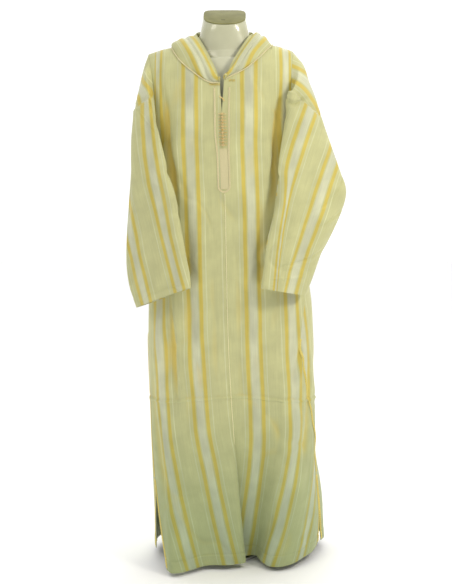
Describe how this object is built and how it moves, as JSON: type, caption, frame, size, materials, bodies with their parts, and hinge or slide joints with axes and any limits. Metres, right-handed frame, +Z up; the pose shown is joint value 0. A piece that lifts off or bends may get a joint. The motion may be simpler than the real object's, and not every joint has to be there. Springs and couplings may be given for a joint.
{
  "type": "djellaba robe on limbless dress form",
  "caption": "Long hooded robe with loose sleeves, a short neck slit with knotted buttons, side slits and lengthwise stripes, worn by a headless dress form on a pole stand",
  "frame": {"origin": "a point of the stand base's flat underside, on the floor below the middle of the robe", "axes": "+Z up; the robe's front faces -Y and the wearer's left side is at +X"},
  "size_m": [0.574, 0.3273, 1.4948],
  "materials": {
    "striped_cloth": "pale yellow-green cloth, matte ground with lengthwise satin stripes in white and gold",
    "cream_braid": "cream silk braid and piping",
    "yellow_braid": "yellow stitched braid over the side seams and slits",
    "silk_button": "pink and gold knotted silk cord",
    "ivory_gloss": "glossy ivory moulded form",
    "cap_grey": "olive grey neck cap",
    "stand_steel": "satin steel stand"
  },
  "bodies": {
    "root": {"front_right_panel": "striped_cloth", "front_left_panel": "striped_cloth", "back_panel": "striped_cloth", "sleeve_right": "striped_cloth", "sleeve_left": "striped_cloth", "hood": "striped_cloth", "placket_braid": "cream_braid", "knot_button_01": "silk_button", "knot_button_02": "silk_button", "knot_button_03": "silk_button", "knot_button_04": "silk_button", "knot_button_05": "silk_button", "knot_button_06": "silk_button", "knot_button_07": "silk_button", "knot_button_08": "silk_button", "knot_button_09": "silk_button", "knot_button_10": "silk_button", "knot_button_11": "silk_button", "neck_piping_right": "cream_braid", "neck_piping_left": "cream_braid", "side_braid_right": "yellow_braid", "slit_braid_right_front": "yellow_braid", "slit_braid_right_back": "yellow_braid", "side_braid_left": "yellow_braid", "slit_braid_left_front": "yellow_braid", "slit_braid_left_back": "yellow_braid", "dress_form": "ivory_gloss", "neck_cap": "cap_grey", "stand_base": "stand_steel", "stand_pole": "stand_steel"}
  },
  "joints": []
}
